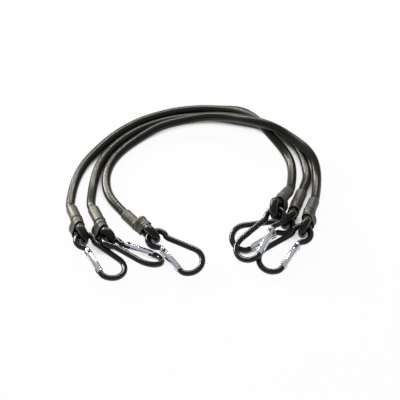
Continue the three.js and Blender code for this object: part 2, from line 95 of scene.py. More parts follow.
ROUTES = {
    1: [(-133, 16, 0), (-129, 33, 0), (-122, 50, 0), (-112, 65, 0), (-103, 77, 0), (-91, 91, 0),
        (-77, 103, 0), (-62, 113, 0), (-45, 120, 0), (-28, 126, 0), (-10, 129, 0), (8, 130, 0),
        (25, 128, 0), (42, 122, 7), (55, 109, 11.8), (67, 96, 10.5), (76, 84, 7.5), (87, 71, 3),
        (96, 56, 0), (98, 38, 1.3)],
    2: [(-113, 12, 0.4), (-111, 30, 0), (-107, 48, 0), (-99, 64, 0), (-90, 76, 0), (-78, 89, 0),
        (-63, 100, 0), (-47, 108, 0), (-31, 114, 0), (-13, 117, 0), (5, 119, 0), (22, 118, 0),
        (39, 112, 0), (57, 109, 0), (74, 102, 0), (88, 92, 0), (99, 81, 0), (109, 66, 0),
        (112, 49, 0), (114, 31, 0)],
    3: [(-96, 2, 0.7), (-100, 20, 0), (-99, 37, 0), (-93, 54, 0), (-85, 66, 0), (-73, 79, 0),
        (-59, 90, 1.4), (-45, 99, 4.6), (-28, 104, 6), (-11, 107, 8), (6, 110, 9), (24, 108, 11),
        (40, 101, 15.5), (54, 92, 21), (71, 87, 21), (88, 83, 14), (99, 75, 10.5), (112, 62, 11.5),
        (122, 48, 7), (124, 30, 1.5)],
}
print(len(ENDS), "ends and", len(ROUTES), "routes")

# %% [markdown]
# From one end's few numbers come the directions that the sleeve, the tail, the loop and the hook share. The
# sleeve points so that the wire of the eye lies midway between the cord and its tail. Working this out in
# one place keeps the pieces of an end together.

# %% Directions at one end
EYE_RADIUS = 9.5
SLEEVE_LENGTH = 32.5
LEG_SPACING = 8.3
UP = np.array([0.0, 0.0, 1.0])


def unit(way):
    return way / np.linalg.norm(way)


def turn_about(axis, degrees):
    """Turn matrix about X, Y, Z or any direction."""
    axis = axis if isinstance(axis, str) else Vector(axis)
    return np.array(Matrix.Rotation(math.radians(degrees), 3, axis))


def lay_out(end):
    start, eye = np.array(end["start"], float), np.array(end["eye"], float)
    turn = turn_about("Z", end["yaw"]) @ turn_about("Y", end["pitch"]) @ turn_about("X", end["roll"])
    forward, side, over = turn.T
    meet = math.radians(end["meet"])
    inward = math.cos(meet) * forward + math.sin(meet) * side
    over = -over if end["under"] else over
    wire = eye - EYE_RADIUS * inward
    line = wire - start
    tilt = math.asin(LEG_SPACING / 2 / np.linalg.norm(line))
    reach = np.linalg.norm(line) * math.cos(tilt)
    across = unit(np.cross(line, np.cross(line, np.cross(over, inward))))
    across = turn_about(line, end["twist"]) @ across
    axis = turn_about(across, math.degrees(tilt)) @ unit(line)
    hook_turn = turn @ turn_about("X", 180) if end["turned"] else turn
    place = Matrix.Translation((eye + ROW_SHIFT) * MM) @ Matrix(hook_turn.tolist()).to_4x4()
    return dict(cuff=start + axis * (reach - end["mouth"] - SLEEVE_LENGTH), axis=axis,
                to_tail=np.cross(axis, across), inward=inward, over=over, wire=wire, place=place)


lay = {label: lay_out(end) for label, end in ENDS.items()}
print("first eye in metres:", [round(x, 4) for x in lay["1_left"]["place"].translation])

# %% [markdown]
# ## The line of a cord
# On the table the cord lies in wide bends, and it climbs a little where it crosses another. A smooth curve
# through the table points gives that run. A curve through points still turns more at some of them, but a real
# cord bends evenly. So the run is averaged along its length, and less and less towards the sleeves, which
# hold the cord still.

# %% Run on the table
CURVE_STEPS = 60
CORD_RADIUS = 4.85
LYING_HEIGHT = CORD_RADIUS
EASE_STEP = 0.3
EASE_SPAN = 201
EASE_FROM = 10
EASE_OVER = 45


def curve_through(points):
    """A smooth curve through all but the first and the last point, which only set its direction."""
    points = np.array(points, float)
    line = []
    for p0, p1, p2, p3 in zip(points, points[1:], points[2:], points[3:]):
        steps = [np.linalg.norm(b - a) ** 0.5 for a, b in ((p0, p1), (p1, p2), (p2, p3))]
        t0, t1, t2, t3 = np.cumsum([0.0] + steps)
        t = np.linspace(t1, t2, CURVE_STEPS, endpoint=False)[:, None]
        a1 = (t1 - t) / (t1 - t0) * p0 + (t - t0) / (t1 - t0) * p1
        a2 = (t2 - t) / (t2 - t1) * p1 + (t - t1) / (t2 - t1) * p2
        a3 = (t3 - t) / (t3 - t2) * p2 + (t - t2) / (t3 - t2) * p3
        b1 = (t2 - t) / (t2 - t0) * a1 + (t - t0) / (t2 - t0) * a2
        b2 = (t3 - t) / (t3 - t1) * a2 + (t - t1) / (t3 - t1) * a3
        line.append((t2 - t) / (t2 - t1) * b1 + (t - t1) / (t2 - t1) * b2)
    return np.concatenate(line + [points[-2:-1]])


def length_so_far(line):
    return np.concatenate([[0], np.cumsum(np.linalg.norm(np.diff(line, axis=0), axis=1))])


def soft_step(t):
    """From 0 to 1 with a soft start and end, and level before and after."""
    t = np.clip(t, 0, 1)
    return t * t * (3 - 2 * t)


def eased_run(run):
    """Keeps the run on the table and evens out its bends and lift-offs, but not close to the sleeves."""
    run[:, 2] = np.maximum(run[:, 2], LYING_HEIGHT)
    reach = length_so_far(run)
    place = np.linspace(0, reach[-1], round(reach[-1] / EASE_STEP))
    run = np.stack([np.interp(place, reach, column) for column in run.T], axis=1)
    weights = np.exp(-np.linspace(-2, 2, EASE_SPAN) ** 2)
    weights /= weights.sum()
    padded = np.pad(run, ((EASE_SPAN // 2,) * 2, (0, 0)), mode="reflect", reflect_type="odd")
    soft = np.stack([np.convolve(column, weights, mode="valid") for column in padded.T], axis=1)
    free = soft_step((np.minimum(place, place[::-1]) - EASE_FROM) / EASE_OVER)
    return run + (soft - run) * free[:, None]


print("the run is averaged over", EASE_STEP * EASE_SPAN, "mm")

# %% [markdown]
# At its end the cord runs straight through the sleeve, out of its mouth, round the hook's wire and back into
# the sleeve as a short tail. One curve through a few points could draw that loop, but two curved legs and a
# half circle keep it clear of the wire and straight where it enters the sleeve. The cord is squeezed where
# the clamp holds it, so each point of the line carries a radius too.

# %% Loop at one end
SQUEEZED_RADIUS = 4.1
CUFF_LENGTH = 20.5
SWELL_LENGTH = 2.2
MOUTH_LEAD = 1.1
TAIL_LENGTH = 9.5
LOOP_RADIUS = 8.4
LOOP_CORD_RADIUS = 4.25
LOOP_PULL = 0.6
SLEEVE_STEPS = 120
TAIL_STEPS = 40
LEG_PARTS = 3


def curved(a, b, c, d, steps=CURVE_STEPS):
    """A curve from a to d that sets out towards b and arrives from c."""
    t = np.linspace(0, 1, steps + 1)[:, None]
    return (1 - t) ** 3 * a + 3 * (1 - t) ** 2 * t * b + 3 * (1 - t) * t ** 2 * c + t ** 3 * d


def loop_line(at):
    """Points and radii of the cord from its cuff out, round the wire and back to the tail's end."""
    cuff, axis, to_tail, inward, over, wire = (at[k] for k in
                                               ("cuff", "axis", "to_tail", "inward", "over", "wire"))
    mouth = cuff + axis * (SLEEVE_LENGTH + MOUTH_LEAD)
    tail_mouth = mouth + to_tail * LEG_SPACING
    tail_end = cuff + axis * (SLEEVE_LENGTH - TAIL_LENGTH) + to_tail * LEG_SPACING
    top, bottom = wire + LOOP_RADIUS * over, wire - LOOP_RADIUS * over
    pull_out = LOOP_PULL * np.linalg.norm(top - mouth)
    pull_home = LOOP_PULL * np.linalg.norm(tail_mouth - bottom)
    out = curved(mouth, mouth + axis * pull_out, top - inward * pull_out, top)
    home = curved(bottom, bottom - inward * pull_home, tail_mouth + axis * pull_home, tail_mouth)
    turn = np.linspace(0, math.pi, CURVE_STEPS)[1:-1, None]
    bend = wire + LOOP_RADIUS * (np.cos(turn) * over + np.sin(turn) * inward)
    depth = np.linspace(0, SLEEVE_LENGTH + MOUTH_LEAD, SLEEVE_STEPS, endpoint=False)[:, None]
    inside = cuff + depth * axis
    tail = tail_mouth + np.linspace(0, 1, TAIL_STEPS)[1:, None] * (tail_end - tail_mouth)
    squeeze = np.clip((depth[:, 0] - CUFF_LENGTH) / SWELL_LENGTH + 0.5, 0, 1)
    swell = soft_step(np.linspace(0, LEG_PARTS, len(out)))
    spare = LOOP_CORD_RADIUS - SQUEEZED_RADIUS
    radii = [CORD_RADIUS - (CORD_RADIUS - SQUEEZED_RADIUS) * squeeze, SQUEEZED_RADIUS + spare * swell,
             np.full(len(bend), LOOP_CORD_RADIUS), SQUEEZED_RADIUS + spare * swell[::-1],
             np.full(len(tail), SQUEEZED_RADIUS)]
    return np.concatenate([inside, out, bend, home, tail]), np.concatenate(radii)


print("a loop takes a bend of", LOOP_RADIUS, "mm round the wire")

# %% [markdown]
# A whole cord is a loop, the run and the other loop in one line. A short straight lead at each cuff makes
# the run leave the sleeve in the sleeve's own direction.

# %% Line of a whole cord
LEAD_LENGTH = 6


def cord_line(cord):
    """The whole cord from tail end to tail end: its points, their radii and the length so far at each."""
    left, right = lay[f"{cord}_left"], lay[f"{cord}_right"]
    lying = [np.array([x, y, LYING_HEIGHT + lift]) for x, y, lift in ROUTES[cord]]
    into = [[at["cuff"] + at["axis"] * LEAD_LENGTH, at["cuff"], at["cuff"] - at["axis"] * LEAD_LENGTH]
            for at in (left, right)]
    run = eased_run(curve_through(into[0] + lying + into[1][::-1]))
    (left_points, left_radii), (right_points, right_radii) = loop_line(left), loop_line(right)
    points = np.concatenate([left_points[::-1], run[1:-1], right_points])
    radii = np.concatenate([left_radii[::-1], np.full(len(run) - 2, CORD_RADIUS), right_radii])
    return points, radii, length_so_far(points)


cord_lines = {cord: cord_line(cord) for cord in ROUTES}
for cord, (_, _, reach) in cord_lines.items():
    print(f"cord {cord}: {reach[-1]:.0f} mm from tail end to tail end")

# %% [markdown]
# ## The braid
# The sheath is braided from two sets of flat strands that wind opposite ways and pass over and under each
# other. A bump texture could fake it, but then the outline stays a plain tube. Here each ring of the mesh is
# pushed in and out by the strand that lies on top at that spot, so the weave is real shape. Two numbers tell
# where a spot is in the weave: how many strands of each set lie before it.

# %% Height of the weave
STRANDS = 16
STRAND_LEAN = math.radians(42)
BRAID_RELIEF = 0.09
SIDES_PER_STRAND = 4
STRAND_PITCH = 2 * math.pi * CORD_RADIUS / STRANDS / math.tan(STRAND_LEAN)
RING_STEP = STRAND_PITCH / SIDES_PER_STRAND


def weave(one, other):
    """Height from 0 to 1, and whether the first set is on top, for places in the two sets of strands."""
    def strand(own, crossing, sign):
        crown = np.sin(math.pi * (own % 1))
        lift = 0.5 + 0.5 * sign * np.cos(math.pi * (crossing - 0.5 + np.floor(own)))
        return 0.5 * crown + 0.5 * lift * crown ** 0.5
    first, second = strand(one, other, 1), strand(other, one, -1)
    return np.maximum(first, second), first > second


print(f"a strand passes every {STRAND_PITCH:.2f} mm along the cord")

# %% [markdown]
# A tube is a row of rings joined by faces, with a cap on each end. It needs a direction for its first vertex
# in every ring. Turning that direction as little as possible from ring to ring keeps the braid from twisting
# where the cord bends.

# %% Rings along a line
def carried_frames(points):
    ways = np.gradient(points, axis=0)
    ways /= np.linalg.norm(ways, axis=1)[:, None]
    side = unit(np.cross(ways[0], UP))
    sides = []
    for way in ways:
        side = unit(side - way * side.dot(way))
        sides.append(side)
    sides = np.array(sides)
    return ways, sides, np.cross(ways, sides)


def tube_faces(rings, sides):
    near = (np.arange(rings - 1)[:, None] * sides + np.arange(sides)).ravel()
    step = np.where(np.arange(sides) == sides - 1, 1 - sides, 1)
    right = near + np.tile(step, rings - 1)
    return np.stack([near, right, right + sides, near + sides], axis=1).tolist()


def end_caps(rings, sides):
    return [list(range(sides))[::-1], list(range((rings - 1) * sides, rings * sides))]


print("ring step", round(RING_STEP, 3), "mm")

# %% [markdown]
# Every piece that shows is tied to two things: the CAD body that it moves with, and the CAD nodes that it
# stands for, which it hides. One helper does both, so that no piece is forgotten. The places of the points
# before a piece is moved are kept, so that scratches and stains go along with it.

# %% Pieces on bodies
def placed(mesh, place):
    """A copy moved into place. Where each point was before is kept, for the finish."""
    copy = mesh.copy()
    own = np.zeros(3 * len(copy.vertices))
    copy.vertices.foreach_get("co", own)
    copy.attributes.new("own_place", "FLOAT_VECTOR", "POINT").data.foreach_set("vector", own)
    copy.transform(place)
    return copy


def show(name, mesh, body, stands_for, place=None):
    """Links a piece, puts it in place, ties it to its CAD body and hides the CAD nodes it stands for."""
    piece = bpy.data.objects.new(name, mesh if place is None else placed(mesh, place))
    bpy.context.scene.collection.objects.link(piece)
    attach(piece, body)
    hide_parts(*stands_for)
    return piece


def mesh_of(name, points_mm, faces):
    mesh = bpy.data.meshes.new(name)
    mesh.from_pydata(np.asarray(points_mm) * MM, [], faces)
    mesh.shade_smooth()
    return mesh


print("bodies to ride on:", 1 + 2 * len(ENDS))

# %% [markdown]
# Each cord is one braided tube from tail to tail. The height of the weave and the place in the two sets of
# strands are stored on the mesh, because the finish needs them later for the shade in the gaps and for the
# fine yarns inside a strand.

# %% Braided cords
def braided_cord(cord):
    points, radii, reach = cord_lines[cord]
    count = int(reach[-1] / RING_STEP)
    stops = np.linspace(0, reach[-1], count)
    path = np.stack([np.interp(stops, reach, column) for column in points.T], axis=1)
    radius = np.interp(stops, reach, radii)
    _, side, up = carried_frames(path)
    sides = STRANDS * SIDES_PER_STRAND
    around = np.arange(sides) / SIDES_PER_STRAND
    along = stops[:, None] / STRAND_PITCH
    height, first_on_top = weave(around + along, around - along)
    turn = 2 * math.pi * around / STRANDS
    out = np.cos(turn)[None, :, None] * side[:, None] + np.sin(turn)[None, :, None] * up[:, None]
    skin = path[:, None] + out * (radius[:, None] - BRAID_RELIEF * (1 - height))[..., None]
    mesh = mesh_of(f"braided_cord_{cord}", skin.reshape(-1, 3) + ROW_SHIFT,
                   tube_faces(count, sides) + end_caps(count, sides))
    for name, values in (("crown", height), ("on_top", first_on_top)):
        mesh.attributes.new(name, "FLOAT", "POINT").data.foreach_set("value", values.ravel().astype(float))
    places = np.zeros((len(mesh.loops), 3))
    corner = np.zeros(len(mesh.loops), int)
    mesh.loops.foreach_get("vertex_index", corner)
    ring, spot = corner // sides, (corner % sides) / SIDES_PER_STRAND
    order = np.arange(len(corner)) % 4
    spot = np.where((spot == 0) & ((order == 1) | (order == 2)), STRANDS, spot)
    places[:, 0] = spot + stops[ring] / STRAND_PITCH
    places[:, 1] = spot - stops[ring] / STRAND_PITCH
    mesh.attributes.new("weave", "FLOAT_VECTOR", "CORNER").data.foreach_set("vector", places.ravel())
    piece = show(f"braided_cord_{cord}", mesh, "cord_set", [f"sheath_{cord}", f"core_{cord}"])
    return piece, (path + ROW_SHIFT) * MM, reach[-1] * MM


cords = {cord: braided_cord(cord) for cord in ROUTES}
for piece, path, length in cords.values():
    print(piece.name, len(piece.data.vertices), "points,", round(length, 3), "m")

# %% [markdown]
# ## Shrunk sleeves
# A plastic tube was slid over the folded cord and shrunk with heat. It is round over the single cord, swells
# to an oval over the cord and its tail, and stands up in a bump where the tail ends. A rim and a groove mark
# the step. Lofting ovals along the cord gives that shape; small noise makes the wrinkles of the shrunk film.
# The loft turns inwards at the mouth and at the cuff, so the wall has a real thickness.

# %% Outline of the sleeve
SLEEVE_SIDES = 72
CUFF_OUTER = 6.0
SLEEVE_WALL = 0.85
BUMP_FROM = 21.6
BUMP_LENGTH = 2.6
EAR_PLACE = BUMP_FROM + BUMP_LENGTH
EAR_OUTER = 6.15
WAIST_PLACE = 27.5
WAIST_OUTER = 5.55
MOUTH_OUTER = 5.75
RIM_PLACE = 20.1
RIM_HEIGHT = 0.6
RIM_WIDTH = 0.65
GROOVE_DEPTH = 0.45
GROOVE_WIDTH = 0.5
SLANT_FROM = 22
MOUTH_SLANTS = {"1_left": 0.3, "2_left": 0.36, "3_left": 0.32,
                "1_right": 0.2, "2_right": 0.15, "3_right": 0.05}
SLANT_GROWTH = 1.5


def between(value, low, high):
    """How far a value is from low to high, as a share from 0 to 1."""
    return min(max((value - low) / (high - low), 0), 1)


def mouth_slant(label, q):
    """The tail's side of the mouth was cut longer; the slant grows towards the mouth."""
    return MOUTH_SLANTS[label] * between(q, SLANT_FROM, SLEEVE_LENGTH) ** SLANT_GROWTH


def oval(radius, reach):
    """Points of an outline round a circle at 0 and one at reach, evenly spaced, from the far side on."""
    quarter = math.pi * radius / 2
    whole = 4 * quarter + 2 * reach
    spots = np.linspace(0, whole, SLEEVE_SIDES, endpoint=False)
    marks = [0, quarter, quarter + reach, 3 * quarter + reach, 3 * quarter + 2 * reach, whole]
    angle = np.interp(spots, marks, np.array([180, 270, 270, 450, 450, 540]) * math.pi / 180)
    middle = np.interp(spots, marks, [0, 0, reach, reach, 0, 0])
    return middle, np.cos(angle), np.sin(angle)


def bell(place, middle, width):
    return math.exp(-((place - middle) / width) ** 2)


print("sleeve is", SLEEVE_LENGTH, "mm long")

# %% [markdown]
# One ring of the sleeve is an oval at one depth, counted from the cuff. The film is uneven by a tenth of a
# millimetre, and faint rings are pressed into its wide part. Noise moves each point in or out by that much.

# %% Rings of the sleeve
FILM_WAVES = [(0.12, 0.22), (0.03, 0.8)]
PRESSED_DEPTH = 0.09
PRESSED_RATE = 2.6
PRESSED_OVER = 2
DRIFT = 2
DRIFT_RATE = 0.12


def sleeve_wrinkle(spot, q):
    """Fine uneven film, with rings pressed into the wide part."""
    spot = Vector(spot)
    film = sum(height * noise.noise(spot * rate) for height, rate in FILM_WAVES)
    wide = between(q, EAR_PLACE, EAR_PLACE + PRESSED_OVER)
    return film + PRESSED_DEPTH * wide * math.sin(q * PRESSED_RATE + DRIFT * noise.noise(spot * DRIFT_RATE))


def sleeve_ring(at, q, radius, reach, slant=0.0, wrinkled=True):
    middle, cosine, sine = oval(radius, reach)
    third = np.cross(at["axis"], at["to_tail"])
    ring = []
    for m, c, s in zip(middle, cosine, sine):
        spot = at["cuff"] + at["axis"] * q + at["to_tail"] * m
        out = at["to_tail"] * c + third * s
        rough = sleeve_wrinkle(spot + out * radius, q) if wrinkled else 0
        ring.append(spot + out * (radius + rough) + at["axis"] * slant * (m + c * radius))
    return ring


print("the film is uneven by", FILM_WAVES[0][0], "mm")

# %% [markdown]
# The outer rings go from the cuff to the mouth and lie closest together on the bump. A Solidify modifier
# could thicken that skin, but the bore of a shrunk sleeve is plainer than its outside. So inner rings of
# their own lead back from the mouth to the cuff, and the last ring joins the first, which closes the film.

# %% Sleeves
CUFF_RINGS = 38
BUMP_RINGS = 10
MOUTH_RINGS = 24
EAR_FLAT = 1.2


def shrunk_sleeve(label):
    at = lay[label]
    ear = EAR_PLACE
    bump = BUMP_FROM + BUMP_LENGTH * (1 - np.cos(np.linspace(0, math.pi / 2, BUMP_RINGS)))
    depths = [*np.linspace(0.35, BUMP_FROM, CUFF_RINGS), *bump[1:],
              *np.linspace(ear, SLEEVE_LENGTH - 0.3, MOUTH_RINGS)[1:]]
    rings = [sleeve_ring(at, 0.1, CUFF_OUTER - 0.25, 0)]
    for q in depths:
        swell = math.sqrt(1 - (1 - between(q, BUMP_FROM, ear)) ** 2)
        wide = np.interp(q, [ear, ear + EAR_FLAT, WAIST_PLACE, SLEEVE_LENGTH],
                         [EAR_OUTER, EAR_OUTER, WAIST_OUTER, MOUTH_OUTER])
        radius = ((CUFF_OUTER if q < BUMP_FROM else wide) + RIM_HEIGHT * bell(q, RIM_PLACE, RIM_WIDTH)
                  - GROOVE_DEPTH * bell(q, BUMP_FROM, GROOVE_WIDTH))
        rings.append(sleeve_ring(at, q, radius, LEG_SPACING * swell, mouth_slant(label, q)))
    lip, bore = SLEEVE_LENGTH, MOUTH_OUTER - SLEEVE_WALL
    cord_bore = CUFF_OUTER - SLEEVE_WALL
    # depth, radius and reach of each inner ring, from the mouth back to the cuff
    inside = [(lip - 0.05, MOUTH_OUTER - 0.3, LEG_SPACING), (lip - 0.05, bore + 0.2, LEG_SPACING),
              (lip - 0.4, bore, LEG_SPACING), (ear + 4, bore, LEG_SPACING), (ear + 0.8, bore, LEG_SPACING),
              (ear, bore, LEG_SPACING * 0.5), (ear - 1, bore, 0),
              (CUFF_LENGTH - SWELL_LENGTH / 2, cord_bore, 0), (0.4, cord_bore, 0), (0, cord_bore + 0.2, 0),
              (0, CUFF_OUTER - 0.45, 0)]
    rings += [sleeve_ring(at, q, r, reach, mouth_slant(label, q), wrinkled=False) for q, r, reach in inside]
    faces = tube_faces(len(rings) + 1, SLEEVE_SIDES)
    total = len(rings) * SLEEVE_SIDES
    faces = [[corner % total for corner in face] for face in faces]
    mesh = mesh_of(f"shrunk_sleeve_{label}", np.concatenate(rings) + ROW_SHIFT, faces)
    return show(f"shrunk_sleeve_{label}", mesh, "cord_set", [f"sleeve_{label}"])


sleeves = {label: shrunk_sleeve(label) for label in ENDS}
print(len(sleeves), "sleeves of", len(sleeves["1_left"].data.vertices), "points")

# %% [markdown]

print("declared", len(cords), "cords")

# %% [markdown]
# ## The hook's outline
# The hook is one bent wire. It starts behind the hinge, goes round the eye, kinks into a straight spine,
# turns round the bow and ends in the nose. Drawing it flat from tangents and arcs, as a wire bender would,
# gives a clean line that a round section can follow.

# %% Flat line of the wire
WIRE_RADIUS = 3.0
NECK_ANGLE = math.radians(48)
NECK_BLEND = 2.6
KINK_PULL = 0.62
STUB_LENGTH = 0.5
STUB_PULL = 2.4
EYE_PULL = 2.0
EYE_FROM = math.radians(62)
HOOK_REACH = 55.5
BOW_RADIUS = 14.5
NOSE_RADIUS = 8
NOSE_TURN = math.radians(62)
GATE_START = np.array([10.8, 6.3])
GATE_RADIUS = 3.75
PIVOT_SETBACK = 4.2
REAR_GAP = 0.5
NOSE_STUB = 0.8
LEAD_STEPS, EYE_STEPS, KINK_STEPS = 14, 64, 12
SPINE_STEPS, BOW_STEPS, NOSE_STEPS = 14, 52, 12

bow_centre = np.array([HOOK_REACH - BOW_RADIUS, 0.0])


def on_circle(centre, radius, angles):
    angles = np.atleast_1d(angles)
    return np.stack([centre[0] + radius * np.cos(angles), centre[1] + radius * np.sin(angles)], axis=1)


def tangent_to(centre, radius, start, side):
    """Direction and length of the line from a place to where it touches a circle."""
    way = centre - start
    distance = np.linalg.norm(way)
    angle = math.atan2(way[1], way[0]) + side * math.asin(radius / distance)
    return angle, math.sqrt(distance ** 2 - radius ** 2)


neck = on_circle((0, 0), EYE_RADIUS, -NECK_ANGLE)[0]
nose_centre = on_circle(bow_centre, BOW_RADIUS - NOSE_RADIUS, NOSE_TURN)[0]
spine_angle, _ = tangent_to(bow_centre, BOW_RADIUS, neck, -1)
gate_angle, gate_line = tangent_to(nose_centre, NOSE_RADIUS, GATE_START, 1)
gate_way = np.array([math.cos(gate_angle), math.sin(gate_angle)])
pivot = GATE_START + PIVOT_SETBACK * gate_way
rear_face = -PIVOT_SETBACK - REAR_GAP
nose_face = gate_line - PIVOT_SETBACK - NOSE_STUB


def wire_line():
    start, stub = pivot + rear_face * gate_way, pivot + (rear_face - STUB_LENGTH) * gate_way
    eye_first = on_circle((0, 0), EYE_RADIUS, EYE_FROM)[0]
    eye_way = np.array([math.sin(EYE_FROM), -math.cos(EYE_FROM)])
    lead = curved(stub, stub - STUB_PULL * gate_way, eye_first + EYE_PULL * eye_way, eye_first, LEAD_STEPS)
    eye_to = 2 * math.pi - NECK_ANGLE - NECK_BLEND / EYE_RADIUS
    eye = on_circle((0, 0), EYE_RADIUS, np.linspace(EYE_FROM, eye_to, EYE_STEPS))
    spine_way = np.array([math.cos(spine_angle), math.sin(spine_angle)])
    spine_from = neck + NECK_BLEND * spine_way
    kink = curved(eye[-1], eye[-1] + KINK_PULL * (neck - eye[-1]),
                  spine_from + KINK_PULL * (neck - spine_from), spine_from, KINK_STEPS)
    bow = on_circle(bow_centre, BOW_RADIUS, np.linspace(spine_angle - math.pi / 2, NOSE_TURN, BOW_STEPS))
    nose = on_circle(nose_centre, NOSE_RADIUS, np.linspace(NOSE_TURN, gate_angle + math.pi / 2, NOSE_STEPS))
    spine = spine_from + np.linspace(0, 1, SPINE_STEPS)[1:-1, None] * (bow[0] - spine_from)
    end = pivot + nose_face * gate_way
    return np.concatenate([[start], lead, eye[1:], kink[1:], spine, bow, nose[1:], [end]])


print(f"gate line {gate_line:.2f} mm at {math.degrees(gate_angle):.2f} degrees, spine at "
      f"{math.degrees(spine_angle):.2f} degrees")

# %% [markdown]
# ## Cutting and joining solids
# The hook and its gate are put together from two kinds of simple solids: flat plates with an outline, and
# turned pieces with a profile. Both are drawn in millimetres, and their faces are made to point outwards,
# because cutting fails on a solid that is inside out.

# %% Plates and turned pieces
def solid(name, points, faces):
    mesh = bpy.data.meshes.new(name)
    mesh.from_pydata(points, [], faces)
    work = bmesh.new()
    work.from_mesh(mesh)
    bmesh.ops.recalc_face_normals(work, faces=work.faces)
    work.to_mesh(mesh)
    work.free()
    piece = bpy.data.objects.new(name, mesh)
    bpy.context.scene.collection.objects.link(piece)
    return piece


def plate(name, outline, thickness):
    count = len(outline)
    points = [(x, y, z) for z in (-thickness / 2, thickness / 2) for x, y in outline]
    return solid(name, points, end_caps(2, count) + tube_faces(2, count))


def turned(name, profile, sides, axis):
    """A turned piece: profile is a list of place along the axis and radius, with closed ends."""
    angles = np.linspace(0, 2 * math.pi, sides, endpoint=False)
    points = []
    for place, radius in profile:
        ring = [(place, radius * math.cos(a), radius * math.sin(a)) for a in angles]
        points += ring if axis == "X" else [(y, z, x) for x, y, z in ring]
    return solid(name, points, tube_faces(len(profile), sides) + end_caps(len(profile), sides))


print("solids: plates and turned pieces")

# %% [markdown]
# The wire's two ends are milled to flat tongues, and the gate is a rod with slots, a bore and holes. Such
# cuts are what Boolean modifiers are for. A small bevel afterwards breaks every sharp edge, because a real
# edge is never sharp and only a bevel catches the light.

# %% Cuts and eased edges
BEVEL_WIDTH = 0.16
SHARP_ANGLE = math.radians(38)
WELD_DISTANCE = 0.002


def settled(piece, label):
    """The mesh that the modifiers give; the working object is removed."""
    bpy.context.view_layer.update()
    mesh = bpy.data.meshes.new_from_object(piece.evaluated_get(bpy.context.evaluated_depsgraph_get()))
    mesh.name = label
    bpy.data.objects.remove(piece)
    return mesh


def combine(piece, steps):
    for operation, other in steps:
        cut = piece.modifiers.new(operation, "BOOLEAN")
        cut.operation, cut.object, cut.solver = operation, other, "EXACT"
    mesh = settled(piece, piece.name)
    for _, other in steps:
        bpy.data.objects.remove(other)
    work = bmesh.new()
    work.from_mesh(mesh)
    bmesh.ops.remove_doubles(work, verts=work.verts, dist=WELD_DISTANCE)
    bmesh.ops.dissolve_degenerate(work, edges=work.edges, dist=WELD_DISTANCE)
    work.to_mesh(mesh)
    work.free()
    return mesh


def in_metres(mesh, sharp_angle):
    """Takes a mesh from millimetres to metres and smooths all but its sharp edges."""
    mesh.transform(Matrix.Scale(MM, 4))
    mesh.shade_smooth()
    mesh.set_sharp_from_angle(angle=sharp_angle)
    return mesh


def eased(mesh, label, width=BEVEL_WIDTH):
    """Breaks the sharp edges with a bevel and takes the mesh from millimetres to metres."""
    piece = bpy.data.objects.new(label, mesh)
    bpy.context.scene.collection.objects.link(piece)
    bevel = piece.modifiers.new("edge", "BEVEL")
    bevel.width, bevel.segments, bevel.limit_method = width, 2, "ANGLE"
    bevel.angle_limit = SHARP_ANGLE
    return in_metres(settled(piece, label), SHARP_ANGLE)


def open_edges(mesh):
    work = bmesh.new()
    work.from_mesh(mesh)
    count = sum(not edge.is_manifold for edge in work.edges)
    work.free()
    return count


print("edges are eased by", BEVEL_WIDTH, "mm")

# %% [markdown]
# ## The hook frame
# The real frame is one length of round steel wire, bent cold. A curve with a round bevel would give such a
# tube too, but cutting needs a closed mesh with rings where we want them. So a round section follows the flat
# line from the hinge to the nose, and smaller rings ease the edges of the two ends.

# %% Bent wire
WIRE_SIDES = 28
END_EASE = 0.45


def bent_wire():
    line = wire_line()
    ways = np.gradient(line, axis=0)
    ways /= np.linalg.norm(ways, axis=1)[:, None]
    turn = 2 * math.pi * (np.arange(WIRE_SIDES) + 0.5) / WIRE_SIDES
    rings = []

    def ring(spot, way, radius):
        side = np.array([-way[1], way[0], 0])
        centre = np.array([*spot, 0])
        rings.append(centre + radius * (np.cos(turn)[:, None] * side + np.sin(turn)[:, None] * UP))

    eases = [(0, END_EASE), (0.3 * END_EASE, 0.3 * END_EASE), (END_EASE, 0)]
    for back, less in eases:
        ring(line[0] + ways[0] * back, ways[0], WIRE_RADIUS - less)
    for spot, way in zip(line[2:-1], ways[2:-1]):
        ring(spot, way, WIRE_RADIUS)
    for back, less in eases[::-1]:
        ring(line[-1] - ways[-1] * back, ways[-1], WIRE_RADIUS - less)
    faces = tube_faces(len(rings), WIRE_SIDES) + end_caps(len(rings), WIRE_SIDES)
    return solid("hook_wire", np.concatenate(rings).tolist(), faces)


print("wire", 2 * WIRE_RADIUS, "mm thick")

# %% [markdown]
# At the hinge the wire ends in a tongue with a rounded tip for the rivet, and at the nose in a tongue with a
# notch that the gate's pin drops into. Points of the wire could be pulled into that shape, but plates joined
# to it keep their sizes exact. Both are drawn along the gate and then moved onto its line. The six frames are
# alike, so the mesh is made once and placed six times.

# %% Frame with its tongues
TONGUE_THICKNESS = 2.4
TONGUE_WIDTH = 4.4
NOSE_TONGUE = 4.6
HINGE_OVERLAP = 1.6
NOSE_OVERLAP = 1.2
RIVET_RADIUS = 1.2
PIN_RADIUS = 0.9
FIT_GAP = 0.3
HOLE_CLEARANCE = 0.05
HOLE_SIDES = 32
half_tongue = TONGUE_WIDTH / 2
pin_place = nose_face - NOSE_TONGUE / 2


def onto_gate_line(piece):
    piece.data.transform(Matrix.Translation((*pivot, 0)) @ Matrix.Rotation(gate_angle, 4, "Z"))
    return piece


